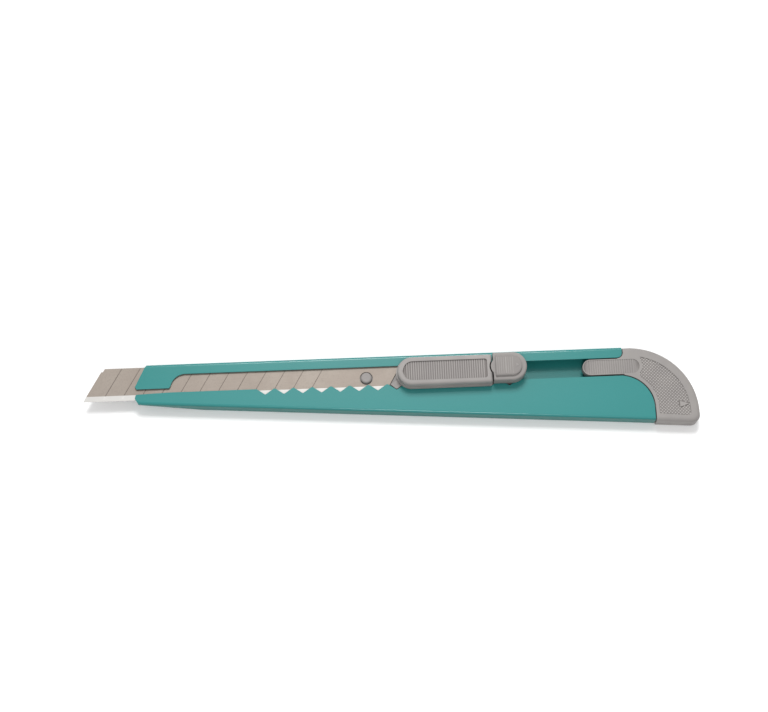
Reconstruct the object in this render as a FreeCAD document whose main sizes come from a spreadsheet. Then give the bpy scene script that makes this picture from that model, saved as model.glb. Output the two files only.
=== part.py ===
"""Snap-off knife with a 9 mm segmented blade in a folded sheet-steel holder.

Millimetres. X runs along the slide axis from the nose (-X) to the tail cap (+X),
Y lies in the blade's plane with the cutting edge down (-Y), and Z comes out of the
front face. Outlines are drawn from the nose at X = 0 and every sub-part is then
placed so that the origin is on the flat back face, on the blade's centre line,
at the middle of the holder.
"""
import FreeCAD
import Part
import Sketcher
import os
import re

# Driving dimensions, one plain number each. Lengths in mm, the lean in degrees.
DIMENSIONS = {
    # blade
    "blade_width": 9.0,
    "blade_thick": 0.38,
    "blade_length": 80.75,
    "tip_step": 0.45,
    "tip_step_high": 0.85,
    "segment_pitch": 5.0,
    "segment_count": 13,
    "segment_lean": 30.0,
    "score_width": 0.22,
    "score_deep": 0.08,
    "bevel_run": 1.45,
    "bevel_deep": 0.14,
    "blade_hole_radius": 1.75,
    "hole_drop": 0.82,
    "stud_from_tip": 75.57,
    # holder
    "sheet": 0.5,
    "fold_inside": 0.25,
    "channel_depth": 3.5,
    "side_play": 0.1,
    "play": 0.1,
    "slot_top": 2.2,
    "slot_low": -2.85,
    "jaw_margin": 1.2,
    "jaw_corner": 0.5,
    "jaw_front": 0.75,
    "jaw_taper": 0.28,
    "jaw_taper_length": 9.0,
    "flap_rise": 1.2,
    "flap_length": 9.2,
    "flap_step": 0.4,
    "flap_sweep": 4.0,
    "flap_sweep_run": 3.8,
    "flap_sweep_rise": 0.7,
    "flap_tip_x": 0.05,
    "nose_set_back": 3.1,
    "nose_corner": 0.55,
    "nose_slant": 0.3,
    "nose_top_run": 0.44,
    "throat_x": 0.4,
    "jaw_lip_x": 0.1,
    "jaw_lip_rise": 0.9,
    "jaw_foot_rise": 0.35,
    "jaw_foot_drop": 0.8,
    "grip_slope": 0.069,
    "ramp_start": 1.5,
    "ramp_length": 16.0,
    "back_skim": 0.02,
    "notch_start": 34.83,
    "notch_count": 14,
    "notch_deep": 1.5,
    "notch_half": 2.27,
    "notch_flat": 0.24,
    "rest_notch": 7,
    "back_notches": 3,
    "panel_radius": 8.8,
    "rail_corner": 1.3,
    "arc_setback": 1.2,
    "bead_start": 20.5,
    "bead_wide": 1.5,
    "bead_high": 1.9,
    "bead_end_gap": 1.6,
    # carrier
    "carrier_nose": 3.8,
    "stud_ahead": 8.03,
    "stud_radius": 1.5,
    "stud_proud": 0.85,
    "stud_round": 0.55,
    "peg_radius": 0.9,
    "small_peg_radius": 0.8,
    "peg_clearance": 0.03,
    "peg_spacing": 4.0,
    "peg_y": -0.8,
    "peg_high": 1.0,
    "root_peg_high": 0.4,
    "peg_sunk": 0.5,
    "stop_gap": 0.3,
    "carrier_short": 2.5,
    "lock_channel": 0.7,
    "leaf_thick": 0.2,
    "leaf_rise": 1.5,
    "leaf_half": 8.0,
    "leaf_half_width": 1.75,
    "seat_play": 0.25,
    "arm_thick": 0.8,
    "arm_gap": 0.05,
    "tooth_half": 1.75,
    "catch_front": 3.6,
    "catch_rear": 5.4,
    "catch_top": 0.3,
    "root_top": 0.8,
    "root_from_rear": 14.0,
    "root_length": 4.4,
    "peg_from_rear": 7.2,
    # thumb slide and lock button
    "thumb_ahead": 0.05,
    "thumb_length": 25.45,
    "thumb_width": 8.3,
    "thumb_centre": -0.38,
    "thumb_high": 3.3,
    "skirt_high": 0.9,
    "skirt_step": 0.35,
    "lift": 0.35,
    "thumb_round": 0.7,
    "thumb_corner": 0.6,
    "pad_deep": 0.45,
    "pad_rim": 1.55,
    "pad_front_rim": 1.85,
    "pad_rear_rim": 1.3,
    "rib_pitch": 0.6,
    "rib_width": 0.28,
    "rib_high": 0.14,
    "boss_front_gap": 0.6,
    "boss_rear_gap": 0.8,
    "button_gap": 0.35,
    "lock_length": 8.9,
    "lock_width": 7.7,
    "lock_pad_high": 0.75,
    "lock_round": 0.55,
    "lock_pad_round": 0.35,
    "bump_radius": 2.4,
    "bump_out": 0.7,
    "lock_pad_rim": 1.1,
    "lock_pad_front": 0.5,
    "foot_front": 1.5,
    "foot_length": 4.0,
    "slot_play": 0.4,
    "keeper_lap": 0.8,
    "keeper_thick": 0.64,
    # tail cap
    "cap_radius": 18.0,
    "cap_lap": 0.32,
    "cap_proud": 0.2,
    "cap_round": 1.1,
    "cap_corner": 2.1,
    "cap_back_round": 0.4,
    "cap_arc_start": 1.4,
    "cap_arc_drop": 0.2,
    "cap_gap": 0.25,
    "tongue_rim": 0.22,
    "tongue_rib_start": 1.3,
    "tongue_rib_reach": 0.85,
    "tongue_deep": 0.18,
    "tongue_gap": 0.05,
    "tongue_length": 15.4,
    "rail_lap": 10.75,
    "grip_pocket_deep": 0.35,
    "grip_rim": 2.4,
    "grip_inner_rim": 1.1,
    "grip_wrap": 0.55,
    "wrap_high_run": 0.82,
    "wrap_high_rise": 0.572,
    "wrap_low_run": 0.7,
    "wrap_low_rise": 0.714,
    "grip_low_rim": 1.9,
    "grip_corner": 0.8,
    "plug_play": 0.2,
    "plug_deep": 1.4,
    "snap_slot_wide": 0.8,
    "snap_slot_deep": 5.5,
    "snap_slot_play": 0.3,
    # how far a cut runs past the metal, one feature laps the next, and slivers
    "past": 1.0,
    "lap": 0.1,
    "edge_skip": 0.01,
    "hair": 0.001,
}

# Places worked out from the driving dimensions.
PLACES = {
    "lean_run": "blade_width * tan(segment_lean * 1 deg)",
    "half_blade": "blade_width / 2",
    "jaw_drop": "half_blade + jaw_margin",
    "top_inner": "half_blade + side_play",
    "top_outer": "top_inner + sheet",
    "bead_top": "-half_blade - side_play",
    "fold_outside": "sheet + fold_inside",
    "lip_z": "sheet + channel_depth",
    "front_z": "lip_z + sheet",
    "blade_z": "lip_z - play - blade_thick",
    "blade_top_z": "lip_z - play",
    "carrier_z": "sheet + play",
    "nose_z": "blade_z - play - sheet",
    "tooth_x": "notch_start + rest_notch * segment_pitch",
    "stud_x": "tooth_x - stud_ahead",
    "tip_x": "stud_x - stud_from_tip",
    "blade_end_x": "tip_x + blade_length",
    "thumb_front": "tooth_x - thumb_ahead",
    "thumb_rear": "thumb_front + thumb_length",
    "thumb_z": "front_z + lift",
    "thumb_top": "thumb_z + thumb_high",
    "flap_low": "slot_low + flap_rise",
    "lock_front": "thumb_rear + button_gap",
    "lock_rear": "lock_front + lock_length",
    "carrier_front": "stud_x - carrier_nose",
    "carrier_rear": "lock_rear - carrier_short",
    "tongue_front": "lock_rear + back_notches * segment_pitch + tongue_gap",
    "rail_end": "tongue_front + rail_lap",
    "panel_arc_x": "rail_end - arc_setback",
    "panel_arc_y": "slot_low - panel_radius",
    "panel_end": "panel_arc_x + panel_radius",
    "root_front": "thumb_rear - root_from_rear",
    "root_rear": "root_front + root_length",
    "root_middle": "( root_front + root_rear ) / 2",
    "peg_front": "thumb_rear - peg_from_rear",
    "rib_count": "floor( ( thumb_length - pad_front_rim - pad_rear_rim - rib_pitch / 2 - rib_width )"
                 " / rib_pitch )",
    "tongue_rib_count": "floor( ( tongue_length - 2 * tongue_rib_start ) / rib_pitch )",
    "cap_arc_x": "rail_end + cap_arc_start",
    "cap_arc_y": "top_outer - cap_arc_drop - cap_radius",
    "cap_end": "cap_arc_x + cap_radius",
    "cap_front_z": "front_z + cap_proud",
    "back_middle": "panel_end / 2",
}

doc = FreeCAD.newDocument("snap_off_knife")


def fill_sheet(name, cells, prefix):
    """A sheet with one named cell a row: the name beside its number or formula."""
    sheet = doc.addObject("Spreadsheet::Sheet", name)
    for row, (alias, content) in enumerate(cells.items(), start=1):
        sheet.set(f"A{row}", alias)
        sheet.set(f"B{row}", prefix + named(str(content)))
        sheet.setAlias(f"B{row}", alias)
    doc.recompute()
    return sheet


def named(text):
    """The expression with each dimension's name given its sheet."""

    def with_sheet(match):
        word = match.group()
        sheet = "Dims." if word in DIMENSIONS else "Places." if word in PLACES else ""
        return sheet + word

    return re.sub(r"[A-Za-z_]\w*", with_sheet, text)


dims = fill_sheet("Dims", DIMENSIONS, "")
places = fill_sheet("Places", PLACES, "=")


def value(text):
    """The number that an expression stands for now."""
    return float(places.evalExpression(named(str(text))))


def bind(thing, **sizes):
    """Tie properties of an object to expressions on the sheets."""
    for name, text in sizes.items():
        thing.setExpression(name, named(str(text)))


def new_body(name):
    """A body moved so that the model's origin is at the middle of the back face."""
    body = doc.addObject("PartDesign::Body", name)
    body.Label = name
    body.setExpression("Placement.Base.x", named("-back_middle"))
    return body


def sketch_on(body, name, role, height="0"):
    """An empty sketch on one of the body's origin planes, raised along its normal."""
    plane = next(item for item in body.Origin.OriginFeatures if item.Role == role)
    sketch = body.newObject("Sketcher::SketchObject", name)
    sketch.AttachmentSupport = [(plane, "")]
    sketch.MapMode = "FlatFace"
    sketch.setExpression("AttachmentOffset.Base.z", named(height))
    return sketch


def pin(sketch, edge, end, x, y):
    """Hold one end of an edge at two expressions."""
    for kind, text in (("DistanceX", x), ("DistanceY", y)):
        place = value(text)
        number = sketch.addConstraint(Sketcher.Constraint(kind, -1, 1, edge, end, place))
        sketch.setExpression(f"Constraints[{number}]", named(str(text)))


def outline(sketch, corners):
    """A closed outline through corners (x, y), or (x, y, side, radius) where the edge
    that leaves the corner is an arc bowed to the left or right of its way."""
    base = sketch.GeometryCount
    points = [FreeCAD.Vector(value(corner[0]), value(corner[1]), 0) for corner in corners]
    first_ends = []
    for index, corner in enumerate(corners):
        start, end = points[index], points[(index + 1) % len(points)]
        if len(corner) == 2:
            edge = Part.LineSegment(start, end)
        else:
            chord = end - start
            radius = value(corner[3])
            rise = radius - max(radius ** 2 - chord.Length ** 2 / 4, 0) ** 0.5
            side = FreeCAD.Vector(-chord.y, chord.x, 0).normalize()
            if corner[2] == "right":
                side = -side
            edge = Part.Arc(start, (start + end) * 0.5 + side * rise, end)
        number = sketch.addGeometry(edge, False)
        first_ends.append(1 if sketch.getPoint(number, 1).isEqual(start, 1e-6) else 2)
    for index, corner in enumerate(corners):
        after = (index + 1) % len(corners)
        last_end = 3 - first_ends[index]
        joined = Sketcher.Constraint(
            "Coincident", base + index, last_end, base + after, first_ends[after]
        )
        sketch.addConstraint(joined)
        pin(sketch, base + index, first_ends[index], corner[0], corner[1])
        if len(corner) > 2:
            round_edge = Sketcher.Constraint("Radius", base + index, value(corner[3]))
            number = sketch.addConstraint(round_edge)
            sketch.setExpression(f"Constraints[{number}]", named(str(corner[3])))


def disc(sketch, x, y, radius):
    """A circle of a given centre and radius."""
    centre = FreeCAD.Vector(value(x), value(y), 0)
    up = FreeCAD.Vector(0, 0, 1)
    edge = sketch.addGeometry(Part.Circle(centre, up, value(radius)), False)
    pin(sketch, edge, 3, x, y)
    number = sketch.addConstraint(Sketcher.Constraint("Radius", edge, value(radius)))
    sketch.setExpression(f"Constraints[{number}]", named(str(radius)))


def rectangle(sketch, left, right, low, high):
    """A rectangle between two x and two y expressions."""
    outline(sketch, [(left, low), (right, low), (right, high), (left, high)])


def pad(body, sketch, length, backwards=False):
    """Material from the sketch along its normal, or the other way."""
    feature = body.newObject("PartDesign::Pad", sketch.Name + "_pad")
    feature.Profile = sketch
    feature.Reversed = backwards
    bind(feature, Length=length)
    doc.recompute()
    return feature


def pocket(body, sketch, length, upwards=False):
    """A cut from the sketch against its normal, or along it when upwards is set."""
    before = body.Tip.Shape.Volume
    feature = body.newObject("PartDesign::Pocket", sketch.Name + "_pocket")
    feature.Profile = sketch
    feature.Reversed = upwards
    bind(feature, Length=length)
    doc.recompute()
    if feature.Shape.Volume >= before:
        raise RuntimeError(feature.Name + " cuts nothing")
    return feature


def repeat_along_x(body, feature, spacing, count):
    """The same feature again and again towards the tail."""
    pattern = body.newObject("PartDesign::LinearPattern", feature.Name + "_row")
    pattern.Originals = [feature]
    axis = next(item for item in body.Origin.OriginFeatures if item.Role == "X_Axis")
    pattern.Direction = (axis, [""])
    bind(pattern, Length=f"( {spacing} ) * ( {count} - 1 )", Occurrences=count)
    body.Tip = pattern
    doc.recompute()
    return pattern


def soften(body, radius, chosen):
    """Round the edges of the last feature that the test picks out."""
    tip = body.Tip
    names = [f"Edge{n}" for n, edge in enumerate(tip.Shape.Edges, start=1) if chosen(edge)]
    fillet = body.newObject("PartDesign::Fillet", body.Name + "_fillet")
    fillet.Base = (tip, names)
    bind(fillet, Radius=radius)
    doc.recompute()
    return fillet


def at_height(height):
    """A test for edges that lie flat at one height."""
    level = value(height)

    def flat(edge):
        box = edge.BoundBox
        return abs(box.ZMin - level) < 1e-4 and abs(box.ZMax - level) < 1e-4

    return flat


def round_the_back(height, front):
    """A test for flat edges at one height that reach behind a given x."""
    flat, limit = at_height(height), value(front)
    return lambda edge: flat(edge) and edge.BoundBox.XMax > limit


def channel_section(body, name, station, back_z):
    """The folded sheet's C-shaped section across the knife at one station along X."""
    low = f"- jaw_drop - grip_slope * ( {station} )"
    sketch = sketch_on(body, name, "YZ_Plane", station)
    outer, inner = "fold_outside", "fold_inside"
    outline(sketch, [
        ("slot_top", "front_z"),
        (f"top_outer - {outer}", "front_z", "left", outer),
        ("top_outer", f"front_z - {outer}"),
        ("top_outer", f"{back_z} + {outer}", "left", outer),
        (f"top_outer - {outer}", back_z),
        (f"{low} + {outer}", back_z, "left", outer),
        (low, f"{back_z} + {outer}"),
        (low, f"front_z - {outer}", "left", outer),
        (f"{low} + {outer}", "front_z"),
        ("slot_low", "front_z"),
        ("slot_low", "lip_z"),
        (f"{low} + {outer}", "lip_z", "right", inner),
        (f"{low} + sheet", f"front_z - {outer}"),
        (f"{low} + sheet", f"{back_z} + {outer}", "right", inner),
        (f"{low} + {outer}", f"{back_z} + sheet"),
        (f"top_outer - {outer}", f"{back_z} + sheet", "right", inner),
        ("top_inner", f"{back_z} + {outer}"),
        ("top_inner", f"front_z - {outer}", "right", inner),
        (f"top_outer - {outer}", "lip_z"),
        ("slot_top", "lip_z"),
    ])
    return sketch


def make_holder():
    """One folded sheet: back wall, spine rail, lower panel with notches, nose flap."""
    body = new_body("holder")
    stations = [
        ("0", "nose_z"),
        ("ramp_start", "nose_z"),
        ("ramp_start + ramp_length", "- back_skim"),
        ("panel_end", "- back_skim"),
    ]
    sections = [
        channel_section(body, f"section_{index}", station, back_z)
        for index, (station, back_z) in enumerate(stations)
    ]
    doc.recompute()
    channel = body.newObject("PartDesign::AdditiveLoft", "channel")
    channel.Profile = sections[0]
    channel.Sections = sections[1:]
    channel.Ruled = True
    doc.recompute()

    back = sketch_on(body, "back_plane", "XY_Plane")
    rectangle(
        back, "- past", "panel_end + past", "- jaw_drop - grip_slope * panel_end - past", "top_outer + past",
    )
    pocket(body, back, "past")

    flap = sketch_on(body, "flap", "XY_Plane", "lip_z")
    outline(flap, [
        ("0", "flap_low"),
        ("flap_length", "flap_low"),
        ("flap_length + flap_step", "flap_low + flap_sweep_rise", "left", "flap_sweep"),
        ("flap_length + flap_step + flap_sweep_run", "slot_top"),
        ("flap_length + flap_step + flap_sweep_run", "slot_top + past"),
        ("0", "slot_top + past"),
    ])
    pad(body, flap, "sheet")

    nose = sketch_on(body, "nose_cut", "XY_Plane", "front_z + past")
    outline(nose, [
        ("- past", "top_outer + past"),
        ("nose_set_back + nose_slant", "top_outer + past"),
        ("nose_set_back", "top_outer - 2 * lap"),
        ("nose_set_back - nose_top_run", "top_outer - 2 * lap - nose_corner"),
        ("flap_tip_x", "flap_low + nose_corner", "left", "nose_corner"),
        ("throat_x", "flap_low - lap"),
        ("jaw_front", "slot_low + lap"),
        ("jaw_front", "slot_low - jaw_taper", "right", "jaw_corner"),
        ("jaw_front - jaw_corner", "slot_low - jaw_taper - jaw_corner"),
        ("jaw_lip_x", "- ( half_blade + jaw_drop ) / 2 + jaw_lip_rise"),
        ("jaw_front", "- jaw_drop + jaw_foot_rise"),
        ("2 * jaw_front", "- jaw_drop - jaw_foot_drop"),
        ("- past", "- jaw_drop - past"),
    ])
    pocket(body, nose, "front_z + 2 * past")

    taper = sketch_on(body, "jaw_taper_cut", "XY_Plane", "front_z")
    outline(taper, [
        ("0", "slot_low - jaw_taper"),
        ("jaw_front", "slot_low - jaw_taper"),
        ("jaw_taper_length", "slot_low"),
        ("jaw_taper_length", "slot_low + lap"),
        ("0", "slot_low + lap"),
    ])
    pocket(body, taper, "sheet")

    tail = sketch_on(body, "tail_cut", "XY_Plane", "front_z + past")
    outline(tail, [
        ("rail_end", "top_outer + past"),
        ("rail_end", "panel_arc_y + sqrt(panel_radius ^ 2 - arc_setback ^ 2)", "left", "panel_radius"),
        ("panel_end - hair", "panel_arc_y"),
        ("panel_end - hair", "- jaw_drop - grip_slope * panel_end - past"),
        ("panel_end + past", "- jaw_drop - grip_slope * panel_end - past"),
        ("panel_end + past", "top_outer + past"),
    ])
    pocket(body, tail, "front_z + 2 * past")

    corner = sketch_on(body, "rail_corner_cut", "XY_Plane", "front_z")
    outline(corner, [
        ("rail_end - rail_corner", "slot_top - 2 * lap"),
        ("rail_end - rail_corner", "slot_top", "right", "rail_corner"),
        ("rail_end", "slot_top + rail_corner"),
        ("rail_end + 2 * lap", "slot_top + rail_corner"),
        ("rail_end + 2 * lap", "slot_top - 2 * lap"),
    ])
    pocket(body, corner, "sheet")

    notch = sketch_on(body, "notch", "XY_Plane", "front_z")
    outline(notch, [
        ("notch_start - notch_half", "slot_low"),
        ("notch_start - notch_flat / 2", "slot_low - notch_deep"),
        ("notch_start + notch_flat / 2", "slot_low - notch_deep"),
        ("notch_start + notch_half", "slot_low"),
        ("notch_start + notch_half", "slot_low + lap"),
        ("notch_start - notch_half", "slot_low + lap"),
    ])
    one_notch = pocket(body, notch, "sheet")
    repeat_along_x(body, one_notch, "segment_pitch", "notch_count")

    bead = sketch_on(body, "bead", "XY_Plane", "sheet / 2")
    rectangle(bead, "bead_start", "tongue_front - bead_end_gap", "bead_top - bead_wide", "bead_top")
    pad(body, bead, "bead_high + sheet / 2")
    groove = sketch_on(body, "bead_groove", "XY_Plane")
    rectangle(
        groove, "bead_start + sheet", "tongue_front - bead_end_gap - sheet",
        "bead_top - bead_wide + sheet", "bead_top - sheet",
    )
    pocket(body, groove, "bead_high", upwards=True)
    return body


def make_blade():
    """Segmented blade: leaning end edges, score lines, ground edge and a tail hole."""
    body = new_body("blade")
    plate = sketch_on(body, "blade_plate", "XY_Plane", "blade_z")
    outline(plate, [
        ("tip_x", "- half_blade"),
        ("blade_end_x", "- half_blade"),
        ("blade_end_x + lean_run", "half_blade"),
        ("tip_x + lean_run + tip_step", "half_blade"),
        ("tip_x + lean_run + tip_step - tip_step_high * tan(segment_lean * 1 deg)",
         "half_blade - tip_step_high"),
        ("tip_x + lean_run - tip_step_high * tan(segment_lean * 1 deg)",
         "half_blade - tip_step_high"),
    ])
    pad(body, plate, "blade_thick")
    for name, edge_z, inward in (("front", "blade_top_z", "-"), ("back", "blade_z", "+")):
        bevel = sketch_on(body, f"bevel_{name}", "YZ_Plane", "tip_x - past")
        outline(bevel, [
            ("- half_blade - lap", edge_z),
            ("- half_blade + bevel_run", edge_z),
            ("- half_blade - lap", f"{edge_z} {inward} bevel_deep"),
        ])
        pocket(body, bevel, "blade_length + lean_run + 2 * past", upwards=True)
    score = sketch_on(body, "score", "XY_Plane", "blade_top_z")
    line_x = "tip_x + segment_pitch"
    outline(score, [
        (line_x, "- half_blade"),
        (f"{line_x} + score_width", "- half_blade"),
        (f"{line_x} + score_width + lean_run", "half_blade"),
        (f"{line_x} + lean_run", "half_blade"),
    ])
    one_score = pocket(body, score, "score_deep")
    repeat_along_x(body, one_score, "segment_pitch", "( segment_count - 1 )")
    hole = sketch_on(body, "blade_hole", "XY_Plane", "blade_top_z + lap")
    disc(hole, "stud_x", "- hole_drop", "blade_hole_radius")
    pocket(body, hole, "blade_thick + 2 * lap")
    return body


def make_carrier():
    """Moulded bar under the blade's tail, with the stud, the pegs and a spring seat."""
    body = new_body("blade_carrier")
    bar = sketch_on(body, "bar", "XY_Plane", "carrier_z")
    rectangle(bar, "carrier_front", "carrier_rear", "- half_blade", "half_blade")
    pad(body, bar, "blade_z - play - carrier_z")
    stop = sketch_on(body, "tail_stop", "XY_Plane", "carrier_z")
    outline(stop, [
        ("blade_end_x + stop_gap", "- half_blade"),
        ("carrier_rear", "- half_blade"),
        ("carrier_rear", "half_blade"),
        ("blade_end_x + stop_gap + lean_run", "half_blade"),
    ])
    pad(body, stop, "blade_top_z - carrier_z")
    channel = sketch_on(body, "lock_channel_cut", "XY_Plane", "blade_top_z")
    rectangle(channel, "lock_front", "carrier_rear + past", "- half_blade - past", "half_blade + past")
    pocket(body, channel, "lock_channel")
    seat = sketch_on(body, "spring_seat", "XY_Plane", "carrier_z")
    rectangle(
        seat, "root_middle - leaf_half - 2 * seat_play", "root_middle + leaf_half + 2 * seat_play",
        "- leaf_half_width - seat_play", "leaf_half_width + seat_play",
    )
    pocket(body, seat, "leaf_rise + 2 * lap", upwards=True)
    stud = sketch_on(body, "stud", "XY_Plane", "carrier_z + past")
    disc(stud, "stud_x", "- hole_drop", "stud_radius")
    pad(body, stud, "blade_top_z + stud_proud - carrier_z - past")
    soften(body, "stud_round", at_height("blade_top_z + stud_proud"))
    pegs = sketch_on(body, "pegs", "XY_Plane", "blade_top_z - peg_sunk")
    disc(pegs, "peg_front", "peg_y", "peg_radius")
    disc(pegs, "peg_front + peg_spacing", "peg_y", "peg_radius")
    pad(body, pegs, "thumb_z + peg_high + peg_sunk - blade_top_z")
    root_peg = sketch_on(body, "root_peg", "XY_Plane", "blade_top_z - peg_sunk")
    disc(root_peg, "root_middle", "peg_y", "small_peg_radius")
    pad(body, root_peg, "thumb_z + root_peg_high + peg_sunk - blade_top_z")
    return body


def make_latch_spring():
    """Sprung arm in the slot: its tooth sits in a notch of the lower panel."""
    body = new_body("latch_spring")
    arm = sketch_on(body, "latch_arm", "XY_Plane", "blade_top_z + arm_gap")
    tooth_low = "slot_low - notch_deep + 2 * play"
    arm_low, arm_high = "slot_low + slot_play", "slot_low + slot_play + arm_thick"
    outline(arm, [
        ("tooth_x - tooth_half", "slot_low - play / 2"),
        ("tooth_x - notch_flat", tooth_low),
        ("tooth_x + notch_flat", tooth_low),
        ("tooth_x + tooth_half", "slot_low - play / 2"),
        ("tooth_x + tooth_half + slot_play", arm_low),
        ("root_rear", arm_low),
        ("root_rear", "root_top"),
        ("root_front", "root_top"),
        ("root_front", arm_high),
        ("tooth_x + catch_rear", arm_high),
        ("tooth_x + catch_rear", "catch_top"),
        ("tooth_x + catch_front", "catch_top"),
        ("tooth_x + catch_front", arm_high),
        ("tooth_x + notch_flat", arm_high),
    ])
    pad(body, arm, "thumb_z - blade_top_z - arm_gap - lap")
    hole = sketch_on(body, "root_hole", "XY_Plane", "thumb_z + past")
    disc(hole, "root_middle", "peg_y", "small_peg_radius + peg_clearance")
    pocket(body, hole, "thumb_z")
    return body


def make_pressure_spring():
    """Bowed strip of spring steel under the carrier."""
    body = new_body("pressure_spring")
    strip = sketch_on(body, "strip", "XZ_Plane", "- leaf_half_width")
    middle, low = "root_middle", "sheet + play / 2"
    radius = "( leaf_half ^ 2 + leaf_rise ^ 2 ) / ( 2 * leaf_rise )"
    outline(strip, [
        (f"{middle} - leaf_half", f"{low} + leaf_rise", "right", radius),
        (f"{middle} + leaf_half", f"{low} + leaf_rise"),
        (f"{middle} + leaf_half", f"{low} + leaf_rise + leaf_thick", "left", radius),
        (f"{middle} - leaf_half", f"{low} + leaf_rise + leaf_thick"),
    ])
    pad(body, strip, "2 * leaf_half_width")
    return body


def slide_outline(sketch, front, rear, half, centre, corner):
    """Plan of the thumb piece: a full round front and a rear edge with small corners."""
    outline(sketch, [
        (f"{front} + {half}", f"{centre} + {half}", "right", half),
        (front, centre, "right", half),
        (f"{front} + {half}", f"{centre} - {half}"),
        (f"{rear} - {corner}", f"{centre} - {half}", "right", corner),
        (rear, f"{centre} - {half} + {corner}"),
        (rear, f"{centre} + {half} - {corner}", "right", corner),
        (f"{rear} - {corner}", f"{centre} + {half}"),
    ])


def stadium(sketch, front, rear, half, centre):
    """A plan outline with both ends fully round."""
    outline(sketch, [
        (f"{front} + {half}", f"{centre} + {half}", "right", half),
        (front, centre, "right", half),
        (f"{front} + {half}", f"{centre} - {half}"),
        (f"{rear} - {half}", f"{centre} - {half}", "right", half),
        (rear, centre, "right", half),
        (f"{rear} - {half}", f"{centre} + {half}"),
    ])


def make_thumb_slide():
    """Thumb piece over the slot: stepped skirt, ribbed hollow, boss on the pegs."""
    body = new_body("thumb_slide")
    skirt = sketch_on(body, "skirt", "XY_Plane", "thumb_z")
    slide_outline(skirt, "thumb_front", "thumb_rear", "thumb_width / 2", "thumb_centre", "thumb_corner")
    pad(body, skirt, "skirt_high")
    crown = sketch_on(body, "crown", "XY_Plane", "thumb_z")
    slide_outline(
        crown, "( thumb_front + skirt_step )", "thumb_rear",
        "( thumb_width / 2 - skirt_step )", "thumb_centre", "thumb_corner",
    )
    pad(body, crown, "thumb_high")
    soften(body, "thumb_round", at_height("thumb_top"))
    hollow = sketch_on(body, "hollow", "XY_Plane", "thumb_top")
    slide_outline(
        hollow, "( thumb_front + pad_front_rim )", "( thumb_rear - pad_rear_rim )",
        "( thumb_width / 2 - pad_rim )", "thumb_centre", "thumb_corner",
    )
    pocket(body, hollow, "pad_deep")
    rib = sketch_on(body, "rib", "XY_Plane", "thumb_top - pad_deep - lap")
    rib_x = "thumb_front + pad_front_rim + rib_pitch / 2"
    rib_half = "( thumb_width / 2 - pad_rim + lap / 2 )"
    rectangle(
        rib, rib_x, f"{rib_x} + rib_width",
        f"thumb_centre - {rib_half}", f"thumb_centre + {rib_half}",
    )
    one_rib = pad(body, rib, "rib_high + lap")
    repeat_along_x(body, one_rib, "rib_pitch", "rib_count")
    dent = sketch_on(body, "rear_dent", "XY_Plane", "thumb_top + past")
    disc(dent, "lock_front + bump_radius - bump_out", "0", "bump_radius + button_gap")
    pocket(body, dent, "thumb_high + 2 * past")
    boss = sketch_on(body, "boss", "XY_Plane", "blade_top_z")
    rectangle(
        boss, "root_rear + boss_front_gap", "thumb_rear - boss_rear_gap",
        "slot_low + slot_play", "root_top",
    )
    pad(body, boss, "thumb_z - blade_top_z + lap")
    holes = sketch_on(body, "peg_holes", "XY_Plane", "blade_top_z - lap")
    for step in ("0", "peg_spacing"):
        disc(holes, f"peg_front + {step}", "peg_y", "peg_radius + peg_clearance")
    pocket(body, holes, "thumb_z + peg_high + 2 * lap - blade_top_z", upwards=True)
    small = sketch_on(body, "root_peg_hole", "XY_Plane", "thumb_z")
    disc(small, "root_middle", "peg_y", "small_peg_radius + peg_clearance")
    pocket(body, small, "0.55", upwards=True)
    return body


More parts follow.
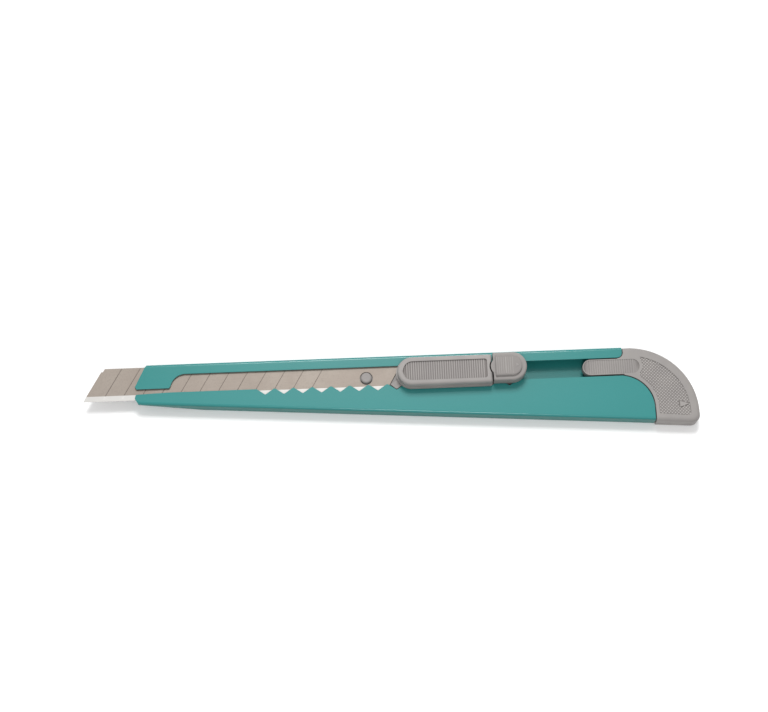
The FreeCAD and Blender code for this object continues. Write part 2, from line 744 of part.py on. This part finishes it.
def make_lock_button():
    """Separate lock behind the thumb piece, with a foot, a keeper and a long finger."""
    body = new_body("lock_button")
    half, rear_x = "( lock_width / 2 )", "( lock_rear - lock_width / 2 )"
    base = sketch_on(body, "lock_base", "XY_Plane", "thumb_z")
    outline(base, [
        ("lock_front", f"- {half}"),
        (rear_x, f"- {half}", "right", half),
        ("lock_rear", "0", "right", half),
        (rear_x, half),
        ("lock_front", half),
    ])
    pad(body, base, "thumb_high")
    bump = sketch_on(body, "bump", "XY_Plane", "thumb_z")
    disc(bump, "lock_front + bump_radius - bump_out", "0", "bump_radius")
    pad(body, bump, "thumb_high")
    soften(body, "lock_round", round_the_back("thumb_top", "lock_front + lap"))
    top = sketch_on(body, "lock_pad", "XY_Plane", "thumb_top - lap")
    pad_half = "( lock_width / 2 - lock_pad_rim )"
    pad_rear = "( lock_rear - lock_pad_rim - 2 * play )"
    pad_x = f"( {pad_rear} - {pad_half} )"
    outline(top, [
        ("lock_front + lock_pad_front", f"- {pad_half}"),
        (pad_x, f"- {pad_half}", "right", pad_half),
        (pad_rear, "0", "right", pad_half),
        (pad_x, pad_half),
        ("lock_front + lock_pad_front", pad_half),
    ])
    pad(body, top, "lock_pad_high + lap")
    soften(body, "lock_pad_round", at_height("thumb_top + lock_pad_high"))
    keeper_z = "blade_top_z - lock_channel + play"
    foot_front, foot_rear = "lock_front + foot_front", "lock_front + foot_front + foot_length"
    foot = sketch_on(body, "foot", "XY_Plane", keeper_z)
    rectangle(foot, foot_front, foot_rear, "slot_low + slot_play", "slot_top - slot_play")
    pad(body, foot, f"thumb_z - ( {keeper_z} ) + lap")
    keeper = sketch_on(body, "keeper", "XY_Plane", keeper_z)
    rectangle(keeper, foot_front, foot_rear, "slot_low - keeper_lap", "slot_top + keeper_lap")
    pad(body, keeper, f"blade_top_z - ( {keeper_z} )")
    finger = sketch_on(body, "finger", "XY_Plane", "blade_top_z + play")
    outline(finger, [
        ("tooth_x + catch_front", "catch_top + 2 * play"),
        ("tooth_x + catch_rear", "catch_top + 2 * play"),
        ("tooth_x + catch_rear", "slot_top - slot_play - keeper_thick"),
        (f"{foot_front} + 2 * lap", "slot_top - slot_play - keeper_thick"),
        (f"{foot_front} + 2 * lap", "slot_top - slot_play"),
        ("tooth_x + catch_front", "slot_top - slot_play"),
    ])
    pad(body, finger, "thumb_z - play - blade_top_z - play")
    return body


def make_tail_cap():
    """Moulded cap: plug in the holder, tongue in the slot, grip hollow, snapping slot."""
    body = new_body("tail_cap")
    low = "- jaw_drop - grip_slope * ({}) - cap_lap"
    left, rail_x = "panel_end + cap_gap", "rail_end + cap_gap"
    corner_x, lean = "(cap_end - cap_corner)", "sqrt(1 + grip_slope ^ 2)"
    corner_y = f"({low.format(corner_x)} + cap_corner * {lean})"
    rise = "sqrt((panel_radius + cap_gap) ^ 2 - (arc_setback + cap_gap) ^ 2)"
    top_y = "cap_arc_y + sqrt(cap_radius ^ 2 - (cap_arc_start - cap_gap) ^ 2)"
    block = sketch_on(body, "cap_block", "XY_Plane")
    outline(block, [
        (rail_x, top_y, "left", "cap_radius"),
        ("cap_end", "cap_arc_y"),
        ("cap_end", corner_y, "left", "cap_corner"),
        (f"{corner_x} - cap_corner * grip_slope / {lean}", f"{corner_y} - cap_corner / {lean}"),
        (left, low.format(left)),
        (left, "panel_arc_y", "right", "panel_radius + cap_gap"),
        (rail_x, f"panel_arc_y + {rise}"),
    ])
    pad(body, block, "cap_front_z")
    soften(body, "cap_round", round_the_back("cap_front_z", f"{left} + edge_skip"))
    soften(body, "cap_back_round", round_the_back("0", f"{left} + edge_skip"))

    plug = sketch_on(body, "plug", "XY_Plane", "carrier_z")
    wall = "- jaw_drop - grip_slope * ({}) + sheet + plug_play"
    middle, half = "(slot_top + slot_low) / 2", "((slot_top - slot_low) / 2 - slot_play)"
    plug_x = f"(tongue_front + {half} + plug_play)"
    outline(plug, [
        (plug_x, wall.format(plug_x)),
        ("panel_end + past", wall.format("panel_end + past")),
        ("panel_end + past", "panel_arc_y"),
        ("rail_end + past", "top_inner - plug_play"),
        (plug_x, "top_inner - plug_play"),
    ])
    pad(body, plug, "blade_top_z - plug_deep - carrier_z")

    tongue_rear = "(tongue_front + tongue_length)"
    tongue = sketch_on(body, "tongue", "XY_Plane", "blade_top_z - plug_deep - lap")
    stadium(tongue, "tongue_front", tongue_rear, half, middle)
    pad(body, tongue, "cap_front_z - blade_top_z + plug_deep + lap")
    corner = sketch_on(body, "corner_fill", "XY_Plane", "blade_top_z - plug_deep - lap")
    outline(corner, [
        ("rail_end - rail_corner", "slot_top - slot_play - 2 * lap"),
        (f"{rail_x} + lap", "slot_top - slot_play - 2 * lap"),
        (f"{rail_x} + lap", "slot_top + rail_corner"),
        (rail_x, "slot_top + rail_corner", "left", "rail_corner + cap_gap"),
        ("rail_end - rail_corner", "slot_top - cap_gap"),
    ])
    pad(body, corner, "cap_front_z - blade_top_z + plug_deep + lap")
    hollow = sketch_on(body, "tongue_hollow", "XY_Plane", "cap_front_z")
    stadium(
        hollow, "(tongue_front + tongue_rim)", f"({tongue_rear} - tongue_rim)",
        f"({half} - tongue_rim)", middle,
    )
    pocket(body, hollow, "tongue_deep")
    rib = sketch_on(body, "tongue_rib", "XY_Plane", "cap_front_z - tongue_deep - lap")
    rib_x = "tongue_front + tongue_rib_start"
    rib_reach = f"({half} - tongue_rim * tongue_rib_reach)"
    rectangle(
        rib, rib_x, f"{rib_x} + rib_width",
        f"{middle} - {rib_reach}", f"{middle} + {rib_reach}",
    )
    one_rib = pad(body, rib, "rib_high + lap")
    repeat_along_x(body, one_rib, "rib_pitch", "tongue_rib_count")

    grip = sketch_on(body, "grip_pocket", "XY_Plane", "cap_front_z")
    inner_radius, outer_radius = "(panel_radius + grip_inner_rim)", "(cap_radius - grip_rim)"
    wrap = f"({half} + grip_wrap)"
    end_x = f"({tongue_rear} - {half})"
    outline(grip, [
        (f"{end_x} + {wrap} * wrap_high_run", f"{middle} + {wrap} * wrap_high_rise"),
        (f"{end_x} + {wrap} * wrap_high_run", f"cap_arc_y + sqrt({outer_radius} ^ 2 - ({end_x} + {wrap}"
         " * wrap_high_run - cap_arc_x) ^ 2)", "left", outer_radius),
        (f"cap_arc_x + {outer_radius}", "cap_arc_y"),
        (f"cap_arc_x + {outer_radius}",
         low.format("cap_end") + " + grip_low_rim + grip_corner", "left", "grip_corner"),
        (f"cap_arc_x + {outer_radius} - grip_corner", low.format("cap_end") + " + grip_low_rim"),
        (f"panel_arc_x + {inner_radius}", low.format("panel_end") + " + grip_low_rim"),
        (f"panel_arc_x + {inner_radius}", "panel_arc_y", "right", inner_radius),
        (f"{end_x} + {wrap} * wrap_low_run",
         f"panel_arc_y + sqrt({inner_radius} ^ 2 - ({end_x} + {wrap} * wrap_low_run - panel_arc_x) ^ 2)"),
        (f"{end_x} + {wrap} * wrap_low_run", f"{middle} - {wrap} * wrap_low_rise", "right", wrap),
    ])
    pocket(body, grip, "grip_pocket_deep")

    slot = sketch_on(body, "snap_slot", "XY_Plane", "front_z / 2 - snap_slot_wide / 2")
    slot_low_y = low.format("cap_end") + " + cap_corner + cap_lap"
    rectangle(
        slot, "cap_end - snap_slot_deep", "cap_end + past",
        slot_low_y, slot_low_y + " + blade_width + 2 * snap_slot_play",
    )
    pocket(body, slot, "snap_slot_wide", upwards=True)
    return body


makers = (
    make_holder, make_blade, make_carrier, make_latch_spring,
    make_pressure_spring, make_thumb_slide, make_lock_button, make_tail_cap,
)
sub_parts = [make() for make in makers]
doc.recompute()

for item in doc.Objects:
    if "Invalid" in item.State or "Error" in item.State:
        raise RuntimeError(f"{item.Name} failed: {item.State}")
for part in sub_parts:
    shape = part.Shape
    if shape.isNull() or not shape.isValid() or len(shape.Solids) != 1:
        raise RuntimeError(f"{part.Label} is not one valid solid")
os.makedirs("parts", exist_ok=True)
for part in sub_parts:
    part.Shape.exportStep(f"parts/{part.Label}.step")
    print(part.Label, round(part.Shape.Volume, 1))
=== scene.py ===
import bpy
import bmesh
import math
from mathutils import Matrix, Vector


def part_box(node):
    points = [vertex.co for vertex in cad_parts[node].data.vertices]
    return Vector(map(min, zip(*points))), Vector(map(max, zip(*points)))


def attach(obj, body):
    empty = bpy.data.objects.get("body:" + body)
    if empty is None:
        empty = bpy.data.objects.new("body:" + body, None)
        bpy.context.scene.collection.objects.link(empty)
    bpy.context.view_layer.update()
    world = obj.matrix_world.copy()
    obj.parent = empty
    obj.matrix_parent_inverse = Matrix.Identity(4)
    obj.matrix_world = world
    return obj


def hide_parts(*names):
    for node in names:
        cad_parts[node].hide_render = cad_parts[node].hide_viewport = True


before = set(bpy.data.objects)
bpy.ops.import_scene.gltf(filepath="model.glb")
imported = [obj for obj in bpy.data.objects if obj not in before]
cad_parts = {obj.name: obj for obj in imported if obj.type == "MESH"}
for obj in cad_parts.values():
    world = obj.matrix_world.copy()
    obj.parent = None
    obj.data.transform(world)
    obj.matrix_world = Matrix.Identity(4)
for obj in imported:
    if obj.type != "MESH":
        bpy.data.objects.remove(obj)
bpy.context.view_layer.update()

MM = 0.001


# ---- Holder -------------------------------------------------------------------------
# One folded sheet of 0.5 mm steel, stamped with the row of lock notches and sprayed with
# teal enamel. The paint has a fine orange peel and lies a little unevenly over the faces.
# A painted sheen makes it paler toward the lower side, and painted shade makes the lower
# side wall deeper.

class Wire:
    """A shader node's output: sums on wires add Math nodes to the same material."""

    def __init__(self, socket):
        self.socket = socket

    def make(self, kind, settings=None, output=0, **inputs):
        """Any other node: its settings first, then values or wires for its sockets."""
        tree = self.socket.id_data
        node = tree.nodes.new("ShaderNode" + kind)
        for name, setting in (settings or {}).items():
            setattr(node, name, setting)
        for name, given in inputs.items():
            by_number = name.startswith("in") and name[2:].isdigit()
            target = node.inputs[int(name[2:]) if by_number else name.replace("_", " ")]
            if isinstance(given, Wire):
                tree.links.new(given.socket, target)
            else:
                target.default_value = given
        return Wire(node.outputs[output])

    def maths(self, operation, *values):
        """One Math node that takes wires and plain numbers."""
        given = {f"in{index}": value for index, value in enumerate(values)}
        return self.make("Math", {"operation": operation}, **given)

    def __add__(self, other):
        return self.maths("ADD", self, other)

    __radd__ = __add__

    def __sub__(self, other):
        return self.maths("SUBTRACT", self, other)

    def __rsub__(self, other):
        return self.maths("SUBTRACT", other, self)

    def __mul__(self, other):
        return self.maths("MULTIPLY", self, other)

    __rmul__ = __mul__

    def __truediv__(self, other):
        return self.maths("DIVIDE", self, other)

    def __rtruediv__(self, other):
        return self.maths("DIVIDE", other, self)

    def __gt__(self, other):
        return self.maths("GREATER_THAN", self, other)

    def __lt__(self, other):
        return self.maths("LESS_THAN", self, other)

    def smooth(self, low, high):
        """0 below low, 1 above high, and a soft step between."""
        return self.make("MapRange", {"interpolation_type": "SMOOTHSTEP"}, Value=self,
                         From_Min=low, From_Max=high)

    def mix(self, first, second):
        """From the first colour to the second as this value goes from 0 to 1."""
        return self.make("Mix", {"data_type": "RGBA"}, output=2, Factor=self, in6=first, in7=second)


def colour(red, green, blue):
    """A display colour from 0 to 255 as the linear value that shaders use."""
    shades = [value / 255 for value in (red, green, blue)]
    return [s / 12.92 if s <= 0.04045 else ((s + 0.055) / 1.055) ** 2.4 for s in shades] + [1.0]


def new_material(name):
    """A material, its main shader and its place wire, which runs in millimetres."""
    material = bpy.data.materials.new(name)
    material.use_nodes = True
    shader = material.node_tree.nodes["Principled BSDF"]
    where = Wire(material.node_tree.nodes.new("ShaderNodeTexCoord").outputs["Object"])
    place = where.make("VectorMath", {"operation": "SCALE"}, Vector=where, Scale=1000.0)
    return material, shader, place


def axes(place):
    """The three wires of a place, along X, Y and Z."""
    return [place.make("SeparateXYZ", None, output=axis, Vector=place) for axis in range(3)]


def plug(shader, **wires):
    """Join wires to a shader's sockets, and set plain numbers on them."""
    for name, given in wires.items():
        target = shader.inputs[name.replace("_", " ")]
        if isinstance(given, Wire):
            shader.id_data.links.new(given.socket, target)
        else:
            target.default_value = given


def noise(place, scale, detail=2.0, roughness=0.5):
    """Cloudy noise from 0 to 1 with a given number of blobs to the millimetre."""
    return place.make("TexNoise", None, Vector=place, Scale=scale, Detail=detail, Roughness=roughness)


def stretched(place, x, y, z):
    """The place scaled by its own amount along each axis."""
    return place.make("VectorMath", {"operation": "MULTIPLY"}, in0=place, in1=(x, y, z))


def bumped(height, depth_mm, strength=1.0):
    """A Bump node's normal for a height from 0 to 1 that stands depth_mm tall."""
    return height.make("Bump", None, Height=height, Distance=depth_mm * MM, Strength=strength)


WELD_MM, FLAT_DEGREES, CORNER_DEGREES = 0.008, 0.5, 32


def clean_mesh(node):
    """The CAD part's faces joined up again, with flat areas as single faces."""
    shell = bmesh.new()
    shell.from_mesh(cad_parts[node].data)
    bmesh.ops.remove_doubles(shell, verts=shell.verts, dist=WELD_MM * MM)
    bmesh.ops.dissolve_limit(shell, angle_limit=math.radians(FLAT_DEGREES),
                             verts=shell.verts, edges=shell.edges)
    return shell


def softened(node, body, width, material):
    """A detailed piece in a CAD part's place, with its sharp edges broken."""
    piece = finished(clean_mesh(node), node + "_shell", body, material)
    rounding = piece.modifiers.new("edge_rounding", "BEVEL")
    rounding.width = width * MM
    rounding.segments = 2
    rounding.limit_method = "ANGLE"
    rounding.angle_limit = math.radians(CORNER_DEGREES)
    level = piece.modifiers.new("level_faces", "WEIGHTED_NORMAL")
    level.mode = "FACE_AREA"
    level.weight = 100
    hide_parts(node)


def finished(shell, name, body, material):
    """The built mesh as a piece of the object that rides on a body."""
    mesh = bpy.data.meshes.new(name)
    shell.to_mesh(mesh)
    shell.free()
    mesh.materials.append(material)
    for face in mesh.polygons:
        face.use_smooth = True
    piece = bpy.data.objects.new(name, mesh)
    bpy.context.scene.collection.objects.link(piece)
    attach(piece, body)
    return piece


PAINTED_SHEEN_SPAN = (-9.0, 4.0)
WALL_BACK, WALL_FRONT, WALL_REACH = (0.2, 0.7), (3.9, 4.35), (-6.2, -5.2)


def enamel():
    """Teal paint, with a painted sheen paler toward the lower side and painted shade on the lower
    side wall.
    """
    material, shader, place = new_material("teal_enamel")
    y, z = axes(place)[1:]
    pooled = noise(place, 0.06, 3.0)
    speckle = noise(place, 1.6, 2.0)
    # Painted sheen: the paint is paler toward the lower side and a shade deeper toward the spine.
    painted_sheen = 1 - y.smooth(*PAINTED_SHEEN_SPAN)
    tone = painted_sheen.mix(colour(34, 118, 115), colour(42, 123, 121))
    tone = (pooled.smooth(0.3, 0.7) * 0.35).mix(tone, colour(38, 125, 123))
    tone = (speckle.smooth(0.62, 0.8) * 0.2).mix(tone, colour(60, 135, 132))
    # Painted shade: the lower side wall is darkened, and its coat is taken off.
    painted_shade_wall = z.smooth(*WALL_BACK) * (1 - z.smooth(*WALL_FRONT)) * (1 - y.smooth(*WALL_REACH))
    tone = painted_shade_wall.mix(tone, colour(22, 103, 98))
    peel = noise(place, 2.2, 1.0) + noise(place, 7.0, 1.0) * 0.3
    rough = 0.27 + pooled * 0.06 + speckle * 0.05
    plug(shader, Base_Color=tone, Roughness=rough, Specular_IOR_Level=0.22,
         Coat_Weight=0.4 * (1 - painted_shade_wall), Coat_Roughness=0.16, Normal=bumped(peel, 0.008, 0.5))
    return material


softened("holder", "holder", width=0.14, material=enamel())


# ---- Blade --------------------------------------------------------------------------
# Tool steel strip, scored every 5 mm and ground to an edge along its lower side. The
# flat keeps faint rolling lines along its length, and the bevel is bright.

SEGMENT, SCORES, SCORE_SHARE = 5.0, 12, 0.03
BEVEL_END, FLAT_START = 1.38, 1.47
LEAN = math.tan(math.radians(30))


def crisp(node, name, body, degrees, material):
    """A CAD part's own faces, smooth but for edges that turn by more than some degrees."""
    piece = finished(clean_mesh(node), name, body, material)
    piece.data.set_sharp_from_angle(angle=math.radians(degrees))
    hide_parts(node)


def blade_steel():
    """Steel rolled along its flat and ground across its bevel, with painted shade in the score lines.
    """
    material, shader, place = new_material("blade_steel")
    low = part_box("blade")[0] / MM
    x, y, z = axes(place)
    lines = noise(stretched(place, 0.25, 14.0, 14.0), 1.0, 3.0)
    ground = noise(stretched(place, 16.0, 0.6, 0.6), 1.0, 2.0)
    mottle = noise(place, 2.4, 3.0)
    clouds = noise(place, 0.12, 3.0)
    bevel = 1 - y.smooth(low.y + BEVEL_END, low.y + FLAT_START)
    steps = (x - (y - low.y) * LEAN - low.x) / SEGMENT
    beyond = steps - steps.maths("FLOOR", steps)
    # Painted shade darkens the score lines.
    painted_score_shade = (beyond < SCORE_SHARE) * (steps > 0.5) * (steps < SCORES + 0.5) * (1 - bevel)
    flat = clouds.smooth(0.25, 0.75).mix(colour(131, 122, 114), colour(138, 130, 122))
    flat = (mottle.smooth(0.45, 0.75) * 0.5).mix(flat, colour(125, 117, 110))
    flat = painted_score_shade.mix(flat, colour(98, 90, 84))
    tone = bevel.mix(flat, colour(190, 188, 185))
    rough = 0.5 + lines * 0.12 - bevel * 0.12 + ground * bevel * 0.1
    height = lines * (1 - bevel) + ground * bevel
    plug(shader, Base_Color=tone, Metallic=0.85, Roughness=rough, Normal=bumped(height, 0.004, 0.5))
    return material


crisp("blade", "blade_shell", "slide", degrees=12, material=blade_steel())


# ---- Moulded parts ------------------------------------------------------------------
# The carrier that holds the blade, its latch spring and the thumb slide, which is pegged
# to the carrier through the slot. All are matt grey mouldings, and painted shade darkens
# the floor between the ribs of the slide's hollow.

def grey_plastic(name, lift=0, sunk=None):
    """Matt grey moulding, lighter by a lift out of 255 where small ribs catch the light.

    sunk makes a mask of the place's three wires, from 0 to 1 where the colour is darkened:
    painted shade in the slide's and the cap's hollows, a darker top on the lock button's pad.
    """
    material, shader, place = new_material(name)
    base, pale, fleck = (colour(*(part + lift for part in shade)) for shade in
                         ((133, 129, 127), (140, 136, 133), (150, 146, 143)))
    grain = noise(place, 5.0, 2.0)
    clouds = noise(place, 0.15, 2.0)
    tone = clouds.smooth(0.3, 0.7).mix(base, pale)
    tone = (grain.smooth(0.55, 0.75) * 0.3).mix(tone, fleck)
    if sunk:
        # The darker colour where sunk is 1: painted shade in the hollows, a darker pad top on the
        # lock button.
        tone = sunk(*axes(place)).mix(tone, colour(112, 107, 105))
    plug(shader, Base_Color=tone, Roughness=0.55 + grain * 0.12, Specular_IOR_Level=0.35,
         Normal=bumped(grain, 0.012, 0.5))
    return material


softened("blade_carrier", "slide", width=0.1, material=grey_plastic("grey_carrier"))
softened("latch_spring", "slide", width=0.08, material=grey_plastic("grey_latch"))

SIDE_RIM, FRONT_RIM, REAR_RIM = 1.3, 1.5, 0.9
HOLLOW_FLOOR, HOLLOW_RIB_TOP, HOLLOW_UNDER = 0.42, 0.33, 0.6
thumb_low, thumb_high = (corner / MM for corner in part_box("thumb_slide"))


def slide_hollow(x, y, z):
    """The floor of the thumb slide's hollow below its rib tops, where shade is painted."""
    across = (y > thumb_low.y + SIDE_RIM) * (y < thumb_high.y - SIDE_RIM)
    along = (x > thumb_low.x + FRONT_RIM) * (x < thumb_high.x - REAR_RIM)
    under_ribs = 1 - z.smooth(thumb_high.z - HOLLOW_FLOOR, thumb_high.z - HOLLOW_RIB_TOP)
    return across * along * (z > thumb_high.z - HOLLOW_UNDER) * under_ribs


crisp("thumb_slide", "thumb_shell", "slide", degrees=30,
      material=grey_plastic("grey_slide", 6, slide_hollow))


# ---- Lock button --------------------------------------------------------------------
# A raised pad with fine cross ribs in two fields, a low bar between them and a small
# arrow that points to the tail, the way the button is drawn to free the latch.

def add_block(shell, loop, low, high, inset):
    """A closed block on a flat loop of points in mm, its top drawn in towards the middle."""
    middle = sum(loop, Vector((0, 0))) / len(loop)
    base = [shell.verts.new((x * MM, y * MM, low * MM)) for x, y in loop]
    top = []
    for point in loop:
        out = point - middle
        shift = Vector(math.copysign(min(inset, abs(part)), part) for part in out)
        x, y = point - shift
        top.append(shell.verts.new((x * MM, y * MM, high * MM)))
    shell.faces.new(base[::-1])
    shell.faces.new(top)
    for index in range(len(loop)):
        after = (index + 1) % len(loop)
        shell.faces.new((base[index], base[after], top[after], top[index]))


def bar(x, y, length, width):
    """The loop of a bar across the knife."""
    corners = ((-1, -1), (1, -1), (1, 1), (-1, 1))
    return [Vector((x + i * length / 2, y + j * width / 2)) for i, j in corners]


def arrow(x, y, length, width):
    """The loop of a triangle that points to the tail, from the middle of its base."""
    return [Vector((x, y - width / 2)), Vector((x + length, y)), Vector((x, y + width / 2))]


def flat_faces(piece):
    """Facets with crisp edges, for small ribs and points."""
    for face in piece.data.polygons:
        face.use_smooth = False


lock_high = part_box("lock_button")[1] / MM


def darker_pad_top(x, y, z):
    """The raised pad's top, a little darker than the rest of the button."""
    return 0.4 * z.smooth(lock_high.z - 0.2, lock_high.z - 0.05)


softened("lock_button", "lock", width=0.07,
         material=grey_plastic("grey_button", -2, darker_pad_top))

PAD_HALF, PAD_BACK, PAD_FRONT = 2.75, 1.5, 8.4
RIB_PITCH, RIB_THICK, BAR_THICK, END_GAP = 0.6, 0.3, 0.5, 0.45
FIRST_RIB, BAR_PLACE, ARROW_ROOM, ARROW_PLACE = 0.35, 2.75, 2.1, 1.45
rib_base, rib_top, bar_top = lock_high.z - 0.05, lock_high.z + 0.04, lock_high.z + 0.09
pad_rear, pad_front = lock_high.x - PAD_BACK, lock_high.x - PAD_FRONT
ribs = bmesh.new()
rib_x = pad_front + FIRST_RIB
while rib_x < pad_rear - ARROW_ROOM:
    round_part = max(0.0, rib_x - (pad_rear - PAD_HALF))
    reach = math.sqrt(PAD_HALF ** 2 - round_part ** 2) - END_GAP
    is_bar = abs(rib_x - (pad_front + BAR_PLACE)) < RIB_PITCH / 2
    thick, top = (BAR_THICK, bar_top) if is_bar else (RIB_THICK, rib_top)
    add_block(ribs, bar(rib_x, 0, thick, 2 * reach), rib_base, top, inset=0.06)
    rib_x += RIB_PITCH
add_block(ribs, arrow(pad_rear - ARROW_PLACE, 0, 0.8, 1.0), rib_base, bar_top, inset=0.05)
# Lifted 3 out of 255: a painted highlight on the ribs, bar and arrow.
flat_faces(finished(ribs, "lock_ribs", "lock",
                    grey_plastic("grey_button_ribs", 3)))


# ---- Tail cap -----------------------------------------------------------------------
# Moulded cap, plugged into the holder. Its sunk grip field is filled with small blunt
# points on a diamond grid, with a smooth arrow head that points out of the tail.

def inside(point, loop):
    """True for a flat point within a closed loop of flat points."""
    crossings = 0
    for a, b in zip(loop, loop[1:] + loop[:1]):
        if (a.y > point.y) != (b.y > point.y):
            crossings += point.x < a.x + (point.y - a.y) * (b.x - a.x) / (b.y - a.y)
    return crossings % 2 == 1


cap_low, cap_high = (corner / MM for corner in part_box("tail_cap"))
CAP_RADIUS, CAP_RIM, LOWER_RIM = 18.0, 1.4, 1.5
FACE_DEPTH, TONGUE_DEPTH, CAP_UNDER = 0.1, 0.25, 0.5


def cap_hollows(x, y, z):
    """Painted shade on the grip field's floor inside its rounded rim, and on the tongue's, but
    fainter.
    """
    across = y - (cap_high.y - CAP_RADIUS)
    along = x.maths("MAXIMUM", x - (cap_high.x - CAP_RADIUS), 0.0)
    in_rim = across * across + along * along < (CAP_RADIUS - CAP_RIM) ** 2
    sunk = (z < cap_high.z - FACE_DEPTH) * (z > cap_high.z - CAP_UNDER)
    fainter = 1 - 0.6 * (z > cap_high.z - TONGUE_DEPTH)
    return in_rim * (y > cap_low.y + LOWER_RIM) * sunk * fainter


# The cap's grip field and tongue floors carry painted shade.
crisp("tail_cap", "tail_cap_shell", "cap", degrees=30,
      material=grey_plastic("grey_cap", 0, cap_hollows))

GRIP_DEEP, GRID, POINT_GAP, POINT_FLAT = 0.35, 0.425, 0.02, 0.19
BELOW_GRIP, POINT_HIGH, ARROW_HIGH = 0.02, 0.27, 0.32
ARROW_BASE, CLEAR_BASE, ARROW_UP = 5.2, 5.5, 3.2
grip_z = cap_high.z - GRIP_DEEP
cap_shell = clean_mesh("tail_cap")
level_faces = [face for face in cap_shell.faces
               if face.normal.z > 0.999 and abs(face.verts[0].co.z / MM - grip_z) < 0.01]
grip_face = max(level_faces, key=lambda face: face.calc_area())
grip_loop = [vert.co.xy / MM for vert in grip_face.verts]
cap_shell.free()
grip_low = Vector((min(p.x for p in grip_loop), min(p.y for p in grip_loop)))
grip_high = Vector((max(p.x for p in grip_loop), max(p.y for p in grip_loop)))
grip_arrow = arrow(cap_high.x - ARROW_BASE, grip_low.y + ARROW_UP, 2.5, 1.75)
clear_of = arrow(cap_high.x - CLEAR_BASE, grip_low.y + ARROW_UP, 3.1, 2.3)
ways = [Vector(way) * (GRID - POINT_GAP) for way in ((1, 0), (0, 1), (-1, 0), (0, -1))]
points = bmesh.new()
for row in range(int((grip_high.y - grip_low.y) / GRID) + 2):
    for column in range(int((grip_high.x - grip_low.x) / GRID / 2) + 2):
        middle = grip_low + Vector(((2 * column + row % 2) * GRID, row * GRID))
        diamond = [middle + way for way in ways]
        if any(inside(corner, grip_loop) for corner in diamond) and not inside(middle, clear_of):
            add_block(points, diamond, grip_z - BELOW_GRIP, grip_z + POINT_HIGH,
                      inset=GRID - POINT_FLAT)
# Lifted 26 out of 255: a painted highlight on the points.
flat_faces(finished(points, "grip_points", "cap",
                    grey_plastic("grey_cap_points", 26)))
arrow_head = bmesh.new()
add_block(arrow_head, grip_arrow, grip_z - BELOW_GRIP, grip_z + ARROW_HIGH, inset=0.08)
# Lifted 4 out of 255: a painted highlight on the arrow head.
flat_faces(finished(arrow_head, "grip_arrow", "cap",
                    grey_plastic("grey_cap_arrow", 4)))


# ---- Pressure spring ----------------------------------------------------------------
# A bowed leaf of bright spring steel, rolled along its length. It lies in a seat under
# the carrier and presses it and the blade up to the holder's lips.

def spring_steel():
    """Bright steel with fine lines along the leaf."""
    material, shader, place = new_material("spring_steel")
    lines = noise(stretched(place, 0.3, 10.0, 10.0), 1.0, 2.0)
    plug(shader, Base_Color=lines.mix(colour(150, 148, 146), colour(184, 182, 180)), Metallic=1.0,
         Roughness=0.3 + lines * 0.15, Normal=bumped(lines, 0.006, 0.4))
    return material


softened("pressure_spring", "slide", width=0.03, material=spring_steel())


# ---- Stage --------------------------------------------------------------------------
# A pale table in an even white room, with one broad soft light beyond the spine and a
# smaller, weaker one on the cutting edge's side.

TILT = math.radians(17)
ROLL = math.radians(2.15)
DISTANCE = 0.420
LENS = 73.572
AIM = Vector((-2.19, 5.06, 4.5)) * MM

back = Vector((0, -math.sin(TILT), math.cos(TILT)))
side = Vector((1, 0, 0))
above = back.cross(side)
right = math.cos(ROLL) * side - math.sin(ROLL) * above
up = math.sin(ROLL) * side + math.cos(ROLL) * above
camera_data = bpy.data.cameras.new("camera")
camera_data.lens = LENS
camera_data.clip_start = 0.01
camera = bpy.data.objects.new("camera", camera_data)
bpy.context.scene.collection.objects.link(camera)
turn = Matrix((right, up, back)).transposed().to_4x4()
camera.matrix_world = Matrix.Translation(AIM + back * DISTANCE) @ turn
bpy.context.scene.camera = camera

TABLE_HALF, TABLE_GAP = 2.0, 0.05
corners = [(i * TABLE_HALF, j * TABLE_HALF, 0) for i, j in ((-1, -1), (1, -1), (1, 1), (-1, 1))]
floor_mesh = bpy.data.meshes.new("floor")
floor_mesh.from_pydata(corners, [], [(0, 1, 2, 3)])
floor = bpy.data.objects.new("floor", floor_mesh)
floor.location.z = -TABLE_GAP * MM
bpy.context.scene.collection.objects.link(floor)
paper, paper_shader, paper_place = new_material("pale_paper")
plug(paper_shader, Roughness=0.9,
     Base_Color=noise(paper_place, 0.05).mix(colour(248, 248, 248), colour(251, 251, 251)))
floor_mesh.materials.append(paper)


def soft_light(name, place, size, power):
    """A square area light that faces the knife."""
    data = bpy.data.lights.new(name, "AREA")
    data.size = size
    data.energy = power
    lamp = bpy.data.objects.new(name, data)
    lamp.location = place
    lamp.rotation_euler = (AIM - Vector(place)).to_track_quat("-Z", "Y").to_euler()
    bpy.context.scene.collection.objects.link(lamp)


soft_light("key_light", (0.0, 0.42, 0.68), 0.27, 5.0)
soft_light("edge_light", (0.0, -0.36, 0.66), 0.12, 1.5)
world = bpy.data.worlds.new("studio")
world.use_nodes = True
world.node_tree.nodes["Background"].inputs["Color"].default_value = (1, 1, 1, 1)
world.node_tree.nodes["Background"].inputs["Strength"].default_value = 0.57
bpy.context.scene.world = world
bpy.context.scene.view_settings.view_transform = "Standard"
